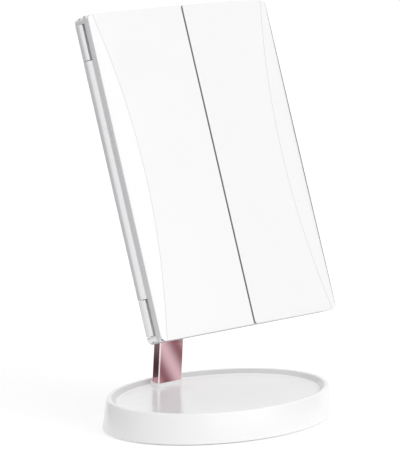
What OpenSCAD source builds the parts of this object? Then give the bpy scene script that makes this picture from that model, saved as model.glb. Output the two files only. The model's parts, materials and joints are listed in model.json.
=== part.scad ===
// Trifold vanity mirror: two wings fold over a lit centre mirror on a flat post and an oval tray.
// Millimetres, +Z up, -Y is the side a person sits at. The origin is the middle of the base, on the table.
// Head parts are drawn upright in the head's own frame (y = 0 is the front plane of the wings' outer
// edges, z = 0 is the head's lower edge) and in_head() then leans them back about the tilt axle.

/* [Head] */
// Height of the head
head_h = 230; // [200:1:260]
// Width across the two closed wing covers
head_w = 175; // [160:1:182]
// Lean of the head from upright as it stands in the photograph, degrees
lean = 18.5; // [5:0.5:25]
// Radius of the head's outer corners
corner_r = 4.5; // [2:0.5:5]
// Depth of the centre frame with the rear housing, front face to back face
core_d = 6.6; // [6.6:0.1:9]

/* [Wing] */
// Thickness of a wing at its outer edge
wing_t = 6.4; // [6:0.1:7]
// How far the covers stand proud at the seam
crown = 4.3; // [2.5:0.1:6]
// Thickness of a wing cover
cover_t = 1.9; // [1.6:0.1:2.2]
// Drop of the scooped facet at the outer edge, at mid height
facet_drop = 0.8; // [0.4:0.1:1]
// Width of the scooped facet at mid height
facet_w = 19.4; // [12:0.2:26]
// Width of the scooped facet at the top and bottom edges
facet_end = 4.4; // [2:0.2:8]
// Radius of the covers' corners at the seam
seam_corner = 2.6; // [1:0.2:5]
// Gap between the two wings at the seam
seam_gap = 0.7; // [0.5:0.1:1.2]
// Gap between a closed wing and the centre frame
fold_gap = 0.6; // [0.5:0.1:1.2]
// Thickness of every mirror glass
glass_t = 2; // [1.8:0.1:2.2]
// Distance between the two inner soft dots of a wing
bumper_gap = 60; // [40:2:120]
// Border of a wing around its glass at the seam, top and bottom
wing_border = 5; // [4:0.2:8]
// Bar between the two magnifying glasses
wing_bar = 5; // [4:0.2:8]

/* [Side hinges] */
// Radius of the hinge barrel
barrel_r = 4.5; // [4.2:0.1:4.8]
// How far the barrel stands outside the cover's edge
barrel_out = 2.6; // [2:0.1:3]
// Radius of the hollow in which the side band meets the barrel
crease_r = 1; // [0.5:0.1:1.5]
// Length of each knuckle
knuckle_l = 25; // [15:1:40]
// Height of the corner blocks above and below the knuckles
block_h = 5.3; // [5:0.1:8]
// Radius that the wing's side band is cut back to around the hinge axis
band_r = 5.4; // [5.2:0.1:6]
// How much smaller the knuckles' radius is than the barrel's
knuckle_in = 0.1; // [0:0.1:0.4]
// How far the flat inner side of a knuckle stands outside the side band
knuckle_flat = 0.7; // [0.3:0.1:1.2]
// Radius of the hinge pins
pin_r = 1; // [0.8:0.1:1.2]
// Outer radius of the bushes in the barrel
bush_r = 2; // [1.6:0.1:2.2]
// Length of the bushes
bush_l = 12; // [8:1:20]

/* [Centre mirror] */
// Width of the frame's lip over the glass edge
lip_w = 2.5; // [1.5:0.1:4]
// Thickness of the frame's lip
lip_t = 0.8; // [0.6:0.1:1]
// Thickness of the frame's side wall
frame_wall = 2.4; // [2:0.1:3]
// Distance of the light band's middle from the glass edge
light_in = 12; // [9:0.5:20]
// Width of the frosted light band
light_w = 7; // [5:0.5:9]
// Lamps up each side of the light band
leds_side = 8; // [4:1:10]
// Lamps along the top of the light band
leds_top = 5; // [3:1:7]
// Radius of the touch switch's sensor behind the glass
touch_r = 6; // [4:0.5:8]

/* [Rear housing] */
// Thickness of the housing's back wall
back_t = 1.5; // [1.2:0.1:1.6]
// Width of the raised battery box
box_w = 88; // [84:1:100]
// Lower edge of the battery box above the head's lower edge
box_z = 22; // [15:1:30]
// Wall of the battery box
box_wall = 2; // [1.6:0.1:2.4]
// Radius of one AAA cell
cell_r = 5.25; // [5:0.05:5.3]
// Length of one AAA cell
cell_l = 44.5; // [44:0.5:46]
// Thickness of the battery door
door_t = 1.6; // [1.2:0.1:2]
// Width of the battery door
door_w = 44; // [43:0.5:46]
// Width of the tongue down each side of the battery door
tongue_w = 1.2; // [0.8:0.1:1.2]
// Travel of the power switch
switch_travel = 3; // [2:0.5:4]
// Height of the power switch above the lower end of the battery bay
switch_up = 34; // [28:1:38]

/* [Tilt joint] */
// Height of the tilt axle above the head's lower edge
pivot_up = 130; // [115:1:150]
// Distance of the tilt axle behind the head's back face
pivot_back = 19.5; // [17:0.1:24]
// Radius of the tilt axle
axle_r = 2.5; // [2:0.1:3]
// Radius of the eye on top of the post
eye_r = 6; // [5.5:0.1:7]
// Width of the eye
eye_w = 13; // [10:0.5:16]
// Thickness of the bracket's ears
ear_t = 2.5; // [2:0.1:3]
// Thickness of the friction washers
washer_t = 0.8; // [0.5:0.1:1]

/* [Post] */
// Width of the post
post_w = 23.4; // [20:0.2:28]
// Depth of the post
post_d = 7.1; // [6.5:0.1:9]
// Wall of the post's tube
post_wall = 1; // [0.8:0.1:1.4]
// Forward lean of the post, degrees
post_lean = 4; // [0:0.5:6]
// Height of the tilt axle above the tray's floor
post_h = 167.8; // [160:0.2:190]
// Distance of the post's middle from the base's rear edge, at the tray's floor
post_in = 15; // [14:0.1:19.6]
// Distance between the two screws under the post
post_screw_gap = 12; // [10:0.5:16]
// Length of the screws under the post
post_screw_l = 9.5; // [7:0.5:10]
// Length of the eye's tongue inside the post
eye_tongue = 22; // [15:1:40]
// How far the collar at the post's foot stands out around it
collar_out = 1.2; // [0.8:0.1:1.6]
// Height of that collar
collar_h = 3; // [2:0.2:6]

/* [Base] */
// Width of the base at its lower edge
base_w = 187; // [184:1:210]
// Depth of the base at its lower edge
base_d = 135.2; // [132:0.2:150]
// Height of the base shell
base_h = 21.2; // [18:0.2:26]
// How much smaller the rim's crest is than the lower edge, to the side
base_draft = 5; // [3:0.2:7]
// Width of the slope between the rim's crest and the floor, to the side
rim_slope = 6.3; // [4:0.1:8]
// Depth of the tray
tray_depth = 3.8; // [3:0.1:6]
// Wall of the base shell
base_wall = 2.2; // [1.8:0.1:2.6]
// Thickness of the steel weight in the base
weight_t = 5; // [3:0.2:6]
// Height of the soft foot ring
foot_h = 1; // [0.8:0.1:1.6]
// How far the foot ring is set in from the lower edge
foot_in = 4; // [3:0.2:8]
// Length of the screws that hold the bottom plate
base_screw_l = 11; // [8:0.5:12]

/* [Hidden] */
$fn = 64;

eps = 0.01;              // overreach of a cut past the face it opens
fit = 0.1;               // gap between pieces that are laid into each other
slip = 0.3;              // gap between pieces that slide on each other
run = 0.05;              // radial clearance of a turning shaft
snug = 0.02;             // radial clearance of a pressed shaft

// Depths in the head, from the front plane backwards
frame_y = wing_t + fold_gap;
back_y = frame_y + core_d;
plate_y = back_y - back_t;
glass_y = frame_y + lip_t + fit;
behind_glass_y = glass_y + glass_t + fit;
axis_y = back_y - barrel_r;
axis_x = head_w / 2 + barrel_out - barrel_r;
lip_y = cover_t - facet_drop;            // where a cover's edge meets the wing frame

// Widths in the head
side_gap = 0.4;                          // between a barrel and the centre frame
frame_x = axis_x - barrel_r - side_gap;
glass_x = frame_x - frame_wall - fit;
knuckle_r = barrel_r - knuckle_in;
block_r = band_r - slip;
block_gap = 0.3;                         // between a corner block and a knuckle
end_gap = 0.5;                           // between a knuckle and the barrel
knuckle_wall = 1;                        // in front of the pin
barrel_z = block_h + block_gap + knuckle_l + end_gap;
pin_end = barrel_z + bush_l + 2;
pin_start = 0.6;

// Rear box
cell_gap = 0.3;
cell_pitch = 2 * cell_r + cell_gap;
box_in = cell_l + 6;                     // room for the cells with their contacts
box_h = box_in + 2 * box_wall + 3;
cell_y = back_y + fit + cell_r;
box_back = cell_y + cell_r + cell_gap + door_t;
bay_w = 4 * cell_pitch + 0.4;
bay_z = box_z + box_wall + 3;
side_bay_x = bay_w / 2 + box_wall;
side_bay_w = box_w / 2 - box_wall - side_bay_x;

// Tilt joint, in the head's frame and in the part's
pivot_y = back_y + pivot_back;
floor_z = foot_h + base_h - tray_depth;
post_y = base_d / 2 - post_in;
tilt_pos = [0, post_y - post_h * tan(post_lean), floor_z + post_h];
post_l = post_h / cos(post_lean);
ear_x = eye_w / 2 + washer_t + run;
ear_r = eye_r + 1;
tube_top = post_l - ear_r - 2.4;
bracket_t = 2;
bracket_w = 34;
bracket_h = 34;
cover_w = bracket_w + 8;
cover_h = bracket_h + 10;
cover_back = pivot_y - ear_r;
bolt_head_r = 4.4;
bolt_head_t = 2.8;
nut_r = 4.6;
nut_t = 3.6;

// Base
oval = base_w / base_d;
base_r = base_d / 2;
crest_r = base_r - base_draft / oval;
floor_r = crest_r - rim_slope / oval;
plate_t = 1.8;
rim_round = 1.2;
socket_l = 11;                           // length of the post inside the base

// ---------------------------------------------------------------- helpers
function unit(v) = v / norm(v);
// One rounded corner: points along the arc of radius r that joins the sides at b
function corner(a, b, c, r, n) = r <= 0 ? [b] :
    let (u = unit(a - b), v = unit(c - b), half = acos(u * v) / 2,
         m = b + unit(u + v) * r / sin(half), s = b + u * r / tan(half) - m,
         turn = (u[0] * v[1] - u[1] * v[0] > 0 ? -1 : 1) * (180 - 2 * half))
    [for (i = [0:n]) let (t = turn * i / n) m + [s[0] * cos(t) - s[1] * sin(t), s[0] * sin(t) + s[1] * cos(t)]];
// A polygon's points with its corners rounded, one radius for each corner
function rounded(pts, radii, n = 8) = let (k = len(pts))
    [for (i = [0:k - 1]) each corner(pts[(i + k - 1) % k], pts[i], pts[(i + 1) % k], radii[i], n)];
function rect(x0, x1, y0, y1) = [[x0, y0], [x1, y0], [x1, y1], [x0, y1]];
function same(r) = [r, r, r, r];

module in_head() translate(tilt_pos) rotate([-lean, 0, 0]) translate([0, -pivot_y, -pivot_up]) children();
module on_post() translate([0, post_y, floor_z]) rotate([post_lean, 0, 0]) children();
module along_x(x0, x1) translate([x0, 0, 0]) rotate([90, 0, 90]) linear_extrude(x1 - x0) children();
module along_y(y0, y1) translate([0, y1, 0]) rotate([90, 0, 0]) linear_extrude(y1 - y0) children();
module along_z(z0, z1) translate([0, 0, z0]) linear_extrude(z1 - z0) children();
module block(x0, x1, y0, y1, z0, z1) translate([x0, y0, z0]) cube([x1 - x0, y1 - y0, z1 - z0]);
module rod_x(x0, x1, r) translate([x0, 0, 0]) rotate([0, 90, 0]) cylinder(r = r, h = x1 - x0);
module rod_y(y0, y1, r) translate([0, y0, 0]) rotate([-90, 0, 0]) cylinder(r = r, h = y1 - y0);
module rod_z(z0, z1, r) translate([0, 0, z0]) cylinder(r = r, h = z1 - z0);
// A box whose upright corners have radius r and whose rear edges have radius e
module housing_box(x, y0, y1, z0, z1, r, e) intersection() {
    along_z(z0, z1) polygon(rounded(rect(-x, x, y0, y1), [0, 0, e, e]));
    along_x(-x, x) polygon(rounded(rect(y0, y1, z0, z1), [0, e, e, 0]));
    along_y(y0, y1) polygon(rounded(rect(-x, x, z0, z1), same(r)));
}
module screw_y(y_head, length, r) {
    rod_y(y_head, y_head + 0.9, 2 * r);
    rod_y(y_head - length, y_head, r);
}

// ---------------------------------------------------------------- base and post
// Sizes of the base are given across its short way; the long way is stretched into an oval
module oval_plate(r, z0, z1) intersection() {
    along_z(z0 - 1, z1 + 1) scale([oval, 1]) circle(r = r, $fn = 120);
    block(-base_w, base_w, -base_d, base_d, z0, z1);
}
// Section of the shell, from the tray's floor over the rim and down to the lower edge, and back inside
shell_section = concat(
    rounded([[floor_r - base_wall, floor_z], [floor_r, floor_z], [crest_r - rim_round, foot_h + base_h],
             [crest_r + rim_round, foot_h + base_h], [base_r, foot_h + 0.6], [base_r - 0.6, foot_h]],
            [0, 1.5, rim_round, rim_round, 0, 0], 3),
    [[base_r - base_wall, foot_h], [crest_r - rim_round - 0.4, floor_z - 0.4], [floor_r - 1, floor_z - base_wall],
     [floor_r - base_wall, floor_z - base_wall]]);
// Carries a section round the oval; flat ovals between its first and last points close the middle
module oval_loft(section, steps = 96) {
    k = len(section);
    polyhedron(
        points = [for (i = [0:steps - 1], p = section) let (t = 360 * i / steps)
            [p[0] * oval * cos(t), p[0] * sin(t), p[1]]],
        faces = concat(
            [[for (i = [steps - 1:-1:0]) i * k], [for (i = [0:steps - 1]) i * k + k - 1]],
            [for (i = [0:steps - 1], j = [0:k - 2]) let (n = (i + 1) % steps)
                each [[n * k + j, i * k + j + 1, i * k + j], [n * k + j + 1, i * k + j + 1, n * k + j]]]));
}
module post_hole(grow, z0, z1) on_post() along_z(z0, z1)
    square([post_w + 2 * grow, post_d + 2 * grow], center = true);
screw_spots = [for (a = [35, 145, 215, 325]) [0.72 * base_r * oval * cos(a), 0.72 * base_r * sin(a)]];
boss_r = 3.2;
// The screws stand upright, so they meet the leaning post a little behind its middle at the floor
module at_post_screws() for (s = [-1, 1]) translate([s * post_screw_gap / 2, post_y + 0.8, 0]) children();
module base_shell() color("white") difference() {
    union() {
        oval_loft(shell_section);
        intersection() {
            post_hole(2, -socket_l - 1.5, -1);
            block(-base_w, base_w, 0, base_d, foot_h + plate_t, floor_z);
        }
        for (p = screw_spots) translate([p[0], p[1], 0]) rod_z(foot_h + plate_t, floor_z - 1, boss_r);
    }
    post_hole(fit, -socket_l, base_h);
    for (p = screw_spots) translate([p[0], p[1], 0]) rod_z(0, floor_z - 4, 1.2);
    at_post_screws() rod_z(0, floor_z, 1.7);
}
module base_weight() color("dimgray") difference() {
    oval_plate(floor_r - 6, foot_h + plate_t + fit, foot_h + plate_t + fit + weight_t);
    block(-post_w / 2 - 4, post_w / 2 + 4, post_y - post_d / 2 - 6, base_d, 0, base_h);
    for (p = screw_spots) translate([p[0], p[1], 0]) rod_z(0, base_h, boss_r + slip);
}
module base_bottom_plate() color("gainsboro") difference() {
    oval_plate(base_r - base_wall - slip, foot_h, foot_h + plate_t);
    for (p = screw_spots) translate([p[0], p[1], 0]) {
        rod_z(0, base_h, 1.5);
        rod_z(0, foot_h + 0.9, 3);
    }
    at_post_screws() {
        rod_z(0, base_h, 1.7);
        rod_z(0, foot_h + 0.9, 3.2);
    }
}
module foot_ring() color("lightgray") difference() {
    oval_plate(base_r - foot_in / oval, 0, foot_h);
    oval_plate(base_r - foot_in / oval - 6, -1, foot_h + 1);
}
module base_screws() color("silver") for (p = screw_spots) translate([p[0], p[1], foot_h + fit]) {
    rod_z(0, 0.7, 2.6);
    rod_z(0, base_screw_l, 1.15);
}
module post_section(grow) polygon(rounded(rect(-post_w / 2 - grow, post_w / 2 + grow,
    -post_d / 2 - grow, post_d / 2 + grow), same(1.1 + grow), 5));
module post_tube() color("rosybrown") on_post() difference() {
    along_z(-socket_l, tube_top) post_section(0);
    along_z(-socket_l - eps, tube_top + eps) post_section(-post_wall);
}
module post_collar() color("whitesmoke") difference() {
    on_post() along_z(-1, collar_h) post_section(collar_out);
    block(-base_w, base_w, 0, base_d, 0, floor_z);
    on_post() along_z(-base_h, base_h) post_section(fit);
}
module post_foot_insert() color("silver") difference() {
    on_post() along_z(-socket_l, -1) post_section(-post_wall - fit);
    at_post_screws() rod_z(0, base_h, 1.2);
}
module post_screws() color("silver") at_post_screws() translate([0, 0, foot_h + fit]) {
    rod_z(0, 0.7, 2.8);
    rod_z(0, post_screw_l, 1.15);
}
module post_eye() color("silver") on_post() difference() {
    union() {
        translate([0, 0, post_l]) rod_x(-eye_w / 2, eye_w / 2, eye_r);
        block(-eye_w / 2, eye_w / 2, -post_d / 2 + post_wall, post_d / 2 - post_wall, tube_top - 2, post_l);
        along_z(tube_top, tube_top + 1.4) post_section(0);
        along_z(tube_top - eye_tongue, tube_top + eps) post_section(-post_wall - fit);
    }
    translate([0, 0, post_l]) rod_x(-eye_w, eye_w, axle_r + run);
}

// ---------------------------------------------------------------- tilt joint
module at_pivot() in_head() translate([0, pivot_y, pivot_up]) children();
module tilt_axle() color("silver") at_pivot() {
    rod_x(-ear_x - ear_t - nut_t - 0.6, ear_x + ear_t + 1, axle_r);
    rod_x(ear_x + ear_t + fit / 2, ear_x + ear_t + fit / 2 + bolt_head_t, bolt_head_r);
}
module tilt_nut() color("silver") at_pivot() difference() {
    translate([-ear_x - ear_t - fit / 2 - nut_t, 0, 0]) rotate([0, 90, 0])
        cylinder(r = nut_r, h = nut_t, $fn = 6);
    rod_x(-bracket_w, 0, axle_r + snug);
}
module friction_washers() color("ivory") at_pivot() for (s = [-1, 1]) difference() {
    rod_x(s > 0 ? eye_w / 2 + run / 2 : -eye_w / 2 - washer_t - run / 2,
          s > 0 ? eye_w / 2 + washer_t + run / 2 : -eye_w / 2 - run / 2, eye_r);
    rod_x(-bracket_w, bracket_w, axle_r + snug);
}
module tilt_bracket() color("silver") in_head() difference() {
    union() {
        along_y(back_y, back_y + bracket_t) translate([0, pivot_up])
            polygon(rounded(rect(-bracket_w / 2, bracket_w / 2, -bracket_h / 2, bracket_h / 2), same(3)));
        for (s = [-1, 1]) translate([s > 0 ? ear_x : -ear_x - ear_t, 0, pivot_up]) {
            block(0, ear_t, back_y, pivot_y, -ear_r, ear_r);
            translate([0, pivot_y, 0]) rod_x(0, ear_t, ear_r);
        }
    }
    translate([0, pivot_y, pivot_up]) rod_x(-bracket_w, bracket_w, axle_r + snug);
    for (x = [-1, 1], z = [-1, 1]) translate([x * (bracket_w / 2 - 4), 0, pivot_up + z * (bracket_h / 2 - 5)])
        rod_y(0, pivot_y, 1.35);
}
module bracket_screws() color("silver") in_head() for (x = [-1, 1], z = [-1, 1])
    translate([x * (bracket_w / 2 - 4), 0, pivot_up + z * (bracket_h / 2 - 5)])
        screw_y(back_y + bracket_t, bracket_t + back_t - fit, 1.3);
module pivot_cover() color("white") in_head() difference() {
    translate([0, 0, pivot_up]) housing_box(cover_w / 2, back_y, cover_back, -cover_h / 2, cover_h / 2, 6, 2.5);
    translate([0, 0, pivot_up])
        block(-cover_w / 2 + 2, cover_w / 2 - 2, back_y - eps, cover_back - 2, -cover_h / 2 + 2, cover_h / 2 - 2);
    block(-ear_x - ear_t - slip, ear_x + ear_t + slip, back_y, pivot_y, pivot_up - ear_r - slip,
          pivot_up + ear_r + slip);
}

// ---------------------------------------------------------------- side hinges
// Everything on the left side; the right side is its mirror image.
side_x = -head_w / 2;                    // plane of the flat side band
hollow_x = side_x - crease_r;
hollow_y = axis_y - sqrt(pow(barrel_r + crease_r, 2) - pow(axis_x + hollow_x, 2));
hollow_turn = atan2(axis_y - hollow_y, -axis_x - hollow_x);
// The band's side of a wing, from the cover's edge back through the hollow onto the barrel
band_side = concat([[side_x, lip_y]], [for (i = [0:6]) let (t = hollow_turn * i / 6)
    [hollow_x + crease_r * cos(t), hollow_y + crease_r * sin(t)]]);
module at_axis() translate([-axis_x, axis_y, 0]) children();
// Height ranges of the four knuckles and blocks, mirrored top to bottom
module both_ends() {
    children();
    translate([0, 0, head_h]) mirror([0, 0, 1]) children();
}
module outline(x_out, x_in, r_out, r_in)
    polygon(rounded(rect(x_out, x_in, 0, head_h), [r_out, r_in, r_in, r_out]));

// A knuckle is round outside and runs inwards to the centre frame that carries it. Its front is cut away
// on the side of the wing's band, which leaves a deep slot between them.
module knuckle() translate([0, 0, block_h + block_gap]) difference() {
    union() {
        at_axis() rod_z(0, knuckle_l, knuckle_r);
        block(-axis_x, -frame_x, axis_y - pin_r - knuckle_wall, axis_y + knuckle_r - slip, 0, knuckle_l);
    }
    block(side_x - knuckle_flat, 0, 0, axis_y - pin_r - knuckle_wall, -1, knuckle_l + 1);
    at_axis() rod_z(-eps, head_h, pin_r + snug);
}
module hinge_pins() both_ends() at_axis() rod_z(pin_start, pin_end, pin_r);
module corner_block() difference() {
    intersection() {
        along_z(0, block_h) polygon(rounded(rect(side_x, -frame_x + frame_wall, lip_y, back_y), [0, 0, 0, 0.6], 4));
        union() {
            at_axis() rod_z(0, block_h, block_r);
            block(-axis_x, 0, frame_y, back_y, 0, block_h);
        }
        along_y(0, back_y + 1) outline(side_x, 0, corner_r, 0);
    }
    at_axis() rod_z(-eps, head_h, pin_r + snug);
}
module right_half() mirror([1, 0, 0]) children();
module upside_down() translate([0, 0, head_h]) mirror([0, 0, 1]) children();
module upper_left_knuckle() color("silver") in_head() upside_down() knuckle();
module lower_left_knuckle() color("white") in_head() knuckle();
module upper_right_knuckle() color("silver") in_head() right_half() upside_down() knuckle();
module lower_right_knuckle() color("white") in_head() right_half() knuckle();
module left_hinge_pins() color("silver") in_head() hinge_pins();
module right_hinge_pins() color("silver") in_head() right_half() hinge_pins();

// ---------------------------------------------------------------- centre of the head
boss_spots = [for (x = [-1, 1], z = [15, head_h / 2, head_h - 15]) [x * (glass_x - 2.5), z]];
module centre_frame() color("lightgray") in_head() difference() {
    union() {
        along_y(frame_y, plate_y) polygon(rect(-frame_x, frame_x, 0, head_h));
        for (m = [0, 1]) mirror([m, 0, 0]) both_ends() corner_block();
    }
    // room for the glass and what is behind it
    block(-glass_x - fit, glass_x + fit, frame_y + lip_t, plate_y + eps, frame_wall, head_h - frame_wall);
    // window in the lip
    along_y(0, back_y) polygon(rounded(rect(-glass_x + lip_w, glass_x - lip_w, frame_wall + lip_w,
        head_h - frame_wall - lip_w), same(2)));
    // seat of the housing's back wall between the corner blocks
    block(-frame_x - fit, frame_x + fit, plate_y, back_y + 1, -1, head_h + 1);
}
module centre_mirror() color("lightcyan") in_head()
    block(-glass_x, glass_x, glass_y, glass_y + glass_t, frame_wall + fit, head_h - frame_wall - fit);
light_x = glass_x - light_in;
light_top = head_h - frame_wall - light_in;
light_low = frame_wall + light_in + 8;
// The arch of the light band: up both sides and over the top
module light_arch(w) difference() {
    polygon(rect(-light_x - w / 2, light_x + w / 2, light_low, light_top + w / 2));
    polygon(rect(-light_x + w / 2, light_x - w / 2, light_low - 1, light_top - w / 2));
}
board_t = 0.4;
led_t = 0.7;
board_y = plate_y - fit - board_t;
module light_diffuser() color("white") in_head() along_y(behind_glass_y, behind_glass_y + 0.8) light_arch(light_w);
module led_board() color("ivory") in_head() along_y(board_y, board_y + board_t) light_arch(light_w - 2);
function led_spots() = concat(
    [for (s = [-1, 1], i = [0:leds_side - 1])
        [s * light_x, light_low + (i + 0.5) * (light_top - light_w - light_low) / leds_side]],
    [for (i = [0:leds_top - 1]) [(i - (leds_top - 1) / 2) * 2 * (light_x - light_w) / leds_top, light_top]]);
module leds() color("khaki") in_head() for (p = led_spots())
    block(p[0] - 1.4, p[0] + 1.4, board_y - led_t, board_y, p[1] - 1.4, p[1] + 1.4);
module mirror_backing() color("gray") in_head()
    block(-light_x + light_w, light_x - light_w, behind_glass_y, plate_y - fit, light_low, light_top - light_w);
module touch_sensor() color("goldenrod") in_head() {
    translate([0, 0, frame_wall + lip_w + touch_r + 3]) rod_y(behind_glass_y - fit, behind_glass_y + 0.3, touch_r);
    block(-1.5, 1.5, behind_glass_y - fit, behind_glass_y + 0.3, frame_wall + lip_w + 2 * touch_r + 2, light_low);
}

// ---------------------------------------------------------------- rear housing
door_top = bay_z + box_in + 3;
tongue_t = 0.6;
port_z = bay_z + 12;
port_y = back_y + 2.4;
knob_x = side_bay_x + side_bay_w / 2;
knob_z = bay_z + switch_up;
knob_w = 4;
knob_l = 4.4;
module rear_housing() color("white") in_head() difference() {
    union() {
        housing_box(frame_x, plate_y, back_y, 0, head_h, 1.5, 1);
        housing_box(box_w / 2, plate_y, box_back, box_z, box_z + box_h, 6, 2);
    }
    // bay for the cells
    block(-bay_w / 2, bay_w / 2, back_y, box_back + 1, bay_z, bay_z + box_in);
    // bays beside it for the circuit board and the wires
    for (m = [0, 1]) mirror([m, 0, 0]) block(side_bay_x, side_bay_x + side_bay_w, back_y,
        box_back - box_wall, bay_z, bay_z + box_in);
    // seat of the sliding door, open at the bottom
    block(-door_w / 2 - slip, door_w / 2 + slip, box_back - door_t - slip, box_back + 1, box_z - 1, door_top + slip);
    block(-door_w / 2 - tongue_w - slip, door_w / 2 + tongue_w + slip, box_back - door_t - slip,
          box_back - door_t + tongue_t + slip, box_z - 1, door_top + slip);
    // mouth of the charging socket in the right side
    translate([0, port_y + 1.35, port_z]) along_x(box_w / 2 - box_wall - 1, box_w / 2 + 1)
        polygon(rounded(rect(-1.8, 1.8, -4.3, 4.3), same(1.2)));
    // slot for the switch knob
    block(knob_x - knob_w / 2 - slip, knob_x + knob_w / 2 + slip, back_y + 2, box_back + 1,
          knob_z - slip, knob_z + knob_l + switch_travel + slip);
    for (x = [-1, 1], z = [-1, 1]) translate([x * (bracket_w / 2 - 4), 0, pivot_up + z * (bracket_h / 2 - 5)])
        rod_y(0, box_back, 1.3 + snug);
    for (p = boss_spots) translate([p[0], 0, p[1]]) rod_y(0, box_back, 1.1 + snug);
}
module housing_screws() color("silver") in_head() for (p = boss_spots) translate([p[0], 0, p[1]])
    screw_y(back_y, back_t + 1.2, 1.1);
module control_board() color("seagreen") in_head()
    block(side_bay_x + 0.4, side_bay_x + side_bay_w - 0.4, back_y + fit, back_y + fit + 1.2, bay_z + 2, bay_z + box_in - 2);
module usb_socket() color("silver") in_head() translate([0, port_y, port_z]) difference() {
    block(box_w / 2 - box_wall - 5.6, box_w / 2 - box_wall - 0.2, -0.9, 2.7, -3.8, 3.8);
    block(box_w / 2 - box_wall - 4.6, box_w / 2, -0.4, 2.2, -3.2, 3.2);
}
module power_switch_body() color("dimgray") in_head() difference() {
    block(knob_x - 4, knob_x + 4, back_y + fit + 1.3, box_back - box_wall - fit, knob_z - 3, knob_z + knob_l + switch_travel + 3);
    block(knob_x - knob_w / 2 - slip, knob_x + knob_w / 2 + slip, box_back - box_wall - 3, box_back,
          knob_z - slip, knob_z + knob_l + switch_travel + slip);
}
module power_switch_knob() color("white") in_head() difference() {
    block(knob_x - knob_w / 2, knob_x + knob_w / 2, box_back - box_wall - 3 + slip, box_back + 0.9, knob_z, knob_z + knob_l);
    for (i = [0:2]) block(knob_x - knob_w, knob_x + knob_w, box_back + 0.5, box_back + 2,
        knob_z + 0.8 + i * 1.2, knob_z + 1.3 + i * 1.2);
}
cell_z = bay_z + (box_in - cell_l) / 2;
module battery_cells() color("steelblue") in_head() for (i = [0:3])
    translate([(i - 1.5) * cell_pitch, cell_y, 0]) {
        rod_z(cell_z, cell_z + cell_l - 1, cell_r);
        if (i % 2 == 0) rod_z(cell_z + cell_l - 1 - eps, cell_z + cell_l, 1.9);
        else rod_z(cell_z + cell_l - 1 - eps, cell_z + cell_l, 4);
    }
module battery_contacts() color("silver") in_head() for (i = [0:3]) translate([(i - 1.5) * cell_pitch, cell_y, 0]) {
    block(-4, 4, -4, 4, bay_z + fit, bay_z + fit + 0.5);
    rod_z(bay_z + fit + 0.5 - eps, cell_z - fit, 2.5);
    block(-4, 4, -4, 4, bay_z + box_in - fit - 0.5, bay_z + box_in - fit);
    rod_z(cell_z + cell_l + fit, bay_z + box_in - fit - 0.5 + eps, 2);
}
module battery_door() color("whitesmoke") in_head() difference() {
    intersection() {
        union() {
            block(-door_w / 2, door_w / 2, box_back - door_t, box_back, box_z, door_top);
            block(-door_w / 2 - tongue_w, door_w / 2 + tongue_w, box_back - door_t,
                  box_back - door_t + tongue_t, box_z, door_top);
        }
        housing_box(box_w / 2, plate_y, box_back, box_z, box_z + box_h, 6, 2);
    }
    for (i = [0:4]) block(-8, 8, box_back - 0.5, box_back + 1, door_top - 16 + i * 2.2, door_top - 15 + i * 2.2);
}

// ---------------------------------------------------------------- wings
wing_edge = side_x;
wing_seam = -seam_gap / 2;
wing_span = wing_seam - wing_edge;
tent = (crown - facet_drop) / wing_span;             // slope of the cover's main face
// height of the main face in front of the front plane, at a distance from the outer edge
function face_y(d) = -facet_drop - tent * d;
tent_angle = atan(tent);
facet_slope = facet_drop / facet_w;
scoop_r = pow(head_h / 2, 2) / (2 * facet_slope * (facet_w - facet_end));
// A very large cylinder lying across the wing: its skin takes the scooped facet out of the cover,
// and it meets the flat main face in the long arc seen from the front
module scoop() translate([wing_edge + facet_w, face_y(facet_w), head_h / 2])
    rotate([0, 0, -tent_angle + atan(facet_slope)])
        translate([-2 * facet_w, -scoop_r, 0]) rotate([0, 90, 0])
            cylinder(r = scoop_r, h = 2 * facet_w + 6, $fn = 3600);
module cover_profile(t) polygon(rounded(
    [[wing_edge, face_y(0) + t], [wing_edge, face_y(0)], [wing_seam, face_y(wing_span)], [wing_seam, face_y(wing_span) + t]],
    [0, 0.5, 1, 0]));
module wing_cover() difference() {
    intersection() {
        along_z(0, head_h) cover_profile(cover_t);
        along_y(-crown - 1, wing_t) outline(wing_edge, wing_seam, corner_r, seam_corner);
    }
    scoop();
}
glass_edge = -axis_x + sqrt(pow(band_r, 2) - pow(axis_y - wing_t, 2)) + 1;
glass_in = wing_seam - wing_border;
module wing_ring(bar) difference() {
    intersection() {
        union() {
            along_z(0, head_h) polygon(concat(band_side, [[-axis_x, axis_y], [-axis_x + barrel_r, axis_y],
                [-axis_x + barrel_r, wing_t], [wing_seam, wing_t], [wing_seam, face_y(wing_span) + cover_t]]));
            at_axis() rod_z(0, head_h, barrel_r);
        }
        along_y(-crown - 1, back_y + 1) outline(-axis_x - barrel_r, wing_seam, corner_r, 0.8);
    }
    // clear of the knuckles and corner blocks
    both_ends() at_axis() rod_z(-1, barrel_z, band_r);
    both_ends() at_axis() rod_z(0, pin_end + 0.5, bush_r + snug);
    // recess for the glass and the hollow behind it
    for (w = wing_windows(bar)) {
        block(glass_edge - fit, glass_in + fit, wing_t - glass_t - 0.3, wing_t + 1, w[0] - fit, w[1] + fit);
        block(glass_edge + 2, glass_in - 2, -crown - 1, wing_t, w[0] + 2, w[1] - 2);
    }
}
function wing_windows(bar) = bar ?
    [[wing_border, (head_h - wing_bar) / 2], [(head_h + wing_bar) / 2, head_h - wing_border]] :
    [[wing_border, head_h - wing_border]];
module wing_glass(w) block(glass_edge, glass_in, wing_t - glass_t - 0.2, wing_t - 0.2, w[0], w[1]);
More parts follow.
